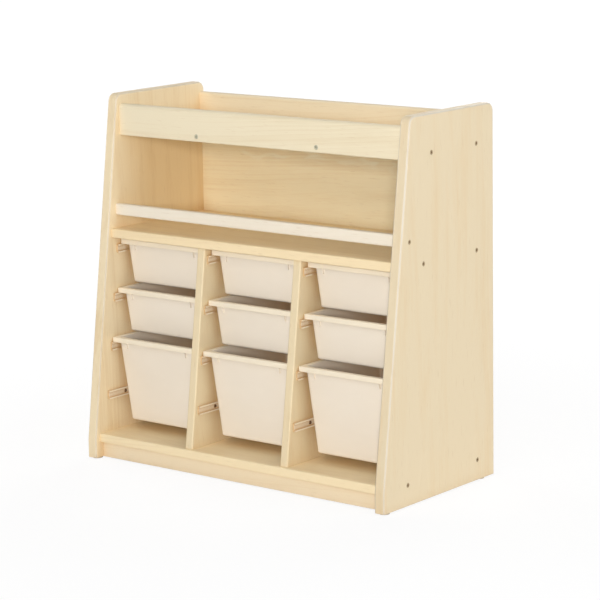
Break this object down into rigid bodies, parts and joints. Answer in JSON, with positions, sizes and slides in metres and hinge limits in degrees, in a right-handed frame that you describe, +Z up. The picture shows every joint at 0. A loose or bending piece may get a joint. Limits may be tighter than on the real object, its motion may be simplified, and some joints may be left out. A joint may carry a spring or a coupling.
{
  "type": "tray cabinet",
  "caption": "Child-height storage cabinet with leaning side panels, a book compartment behind a wooden bar, and moulded pull-out trays hung by their rims on channel runners",
  "frame": {"origin": "on the floor under the middle of the cabinet", "axes": "+X to the right seen from the front, +Y to the back, +Z up"},
  "size_m": [0.816, 0.395, 0.8],
  "materials": {
    "side_board": "satin lacquer, grain upright",
    "divider_board": "satin lacquer, grain upright",
    "cross_board": "satin lacquer, grain lengthwise",
    "back_board": "satin lacquer, grain lengthwise",
    "bar_wood": "satin lacquer, grain lengthwise",
    "dowel_wood": "bare",
    "tray_plastic": "fine moulded texture",
    "runner_plastic": "smooth",
    "screw_steel": "zinc plated",
    "glide_plastic": "smooth"
  },
  "bodies": {
    "cabinet": {"back_panel": "back_board", "back_rail": "cross_board", "bottom_board": "cross_board", "divider_left": "divider_board", "divider_right": "divider_board", "foot_glides": "glide_plastic", "kickboard": "cross_board", "lip_screws": "screw_steel", "middle_shelf": "cross_board", "retaining_bar": "bar_wood", "runner_centre_bottom_left": "runner_plastic", "runner_centre_bottom_right": "runner_plastic", "runner_centre_middle_left": "runner_plastic", "runner_centre_middle_right": "runner_plastic", "runner_centre_spare_left": "runner_plastic", "runner_centre_spare_right": "runner_plastic", "runner_centre_top_left": "runner_plastic", "runner_centre_top_right": "runner_plastic", "runner_left_bottom_left": "runner_plastic", "runner_left_bottom_right": "runner_plastic", "runner_left_middle_left": "runner_plastic", "runner_left_middle_right": "runner_plastic", "runner_left_spare_left": "runner_plastic", "runner_left_spare_right": "runner_plastic", "runner_left_top_left": "runner_plastic", "runner_left_top_right": "runner_plastic", "runner_right_bottom_left": "runner_plastic", "runner_right_bottom_right": "runner_plastic", "runner_right_middle_left": "runner_plastic", "runner_right_middle_right": "runner_plastic", "runner_right_spare_left": "runner_plastic", "runner_right_spare_right": "runner_plastic", "runner_right_top_left": "runner_plastic", "runner_right_top_right": "runner_plastic", "side_panel_left": "side_board", "side_panel_right": "side_board", "side_screws": "screw_steel", "top_board": "cross_board", "top_lip": "cross_board", "wood_dowels": "dowel_wood"},
    "tray_centre_bottom": {"tray_centre_bottom": "tray_plastic"},
    "tray_centre_middle": {"tray_centre_middle": "tray_plastic"},
    "tray_centre_top": {"tray_centre_top": "tray_plastic"},
    "tray_left_bottom": {"tray_left_bottom": "tray_plastic"},
    "tray_left_middle": {"tray_left_middle": "tray_plastic"},
    "tray_left_top": {"tray_left_top": "tray_plastic"},
    "tray_right_bottom": {"tray_right_bottom": "tray_plastic"},
    "tray_right_middle": {"tray_right_middle": "tray_plastic"},
    "tray_right_top": {"tray_right_top": "tray_plastic"}
  },
  "joints": [
    {"name": "tray_left_top_slide", "type": "slide", "parent": "cabinet", "child": "tray_left_top", "axis": [0, -1, 0], "range_m": [-0.005, 0.385]},
    {"name": "tray_left_middle_slide", "type": "slide", "parent": "cabinet", "child": "tray_left_middle", "axis": [0, -1, 0], "range_m": [-0.0195, 0.385]},
    {"name": "tray_left_bottom_slide", "type": "slide", "parent": "cabinet", "child": "tray_left_bottom", "axis": [0, -1, 0], "range_m": [-0.041, 0.385]},
    {"name": "tray_centre_top_slide", "type": "slide", "parent": "cabinet", "child": "tray_centre_top", "axis": [0, -1, 0], "range_m": [-0.005, 0.385]},
    {"name": "tray_centre_middle_slide", "type": "slide", "parent": "cabinet", "child": "tray_centre_middle", "axis": [0, -1, 0], "range_m": [-0.0195, 0.385]},
    {"name": "tray_centre_bottom_slide", "type": "slide", "parent": "cabinet", "child": "tray_centre_bottom", "axis": [0, -1, 0], "range_m": [-0.041, 0.385]},
    {"name": "tray_right_top_slide", "type": "slide", "parent": "cabinet", "child": "tray_right_top", "axis": [0, -1, 0], "range_m": [-0.005, 0.385]},
    {"name": "tray_right_middle_slide", "type": "slide", "parent": "cabinet", "child": "tray_right_middle", "axis": [0, -1, 0], "range_m": [-0.0195, 0.385]},
    {"name": "tray_right_bottom_slide", "type": "slide", "parent": "cabinet", "child": "tray_right_bottom", "axis": [0, -1, 0], "range_m": [-0.041, 0.385]}
  ]
}
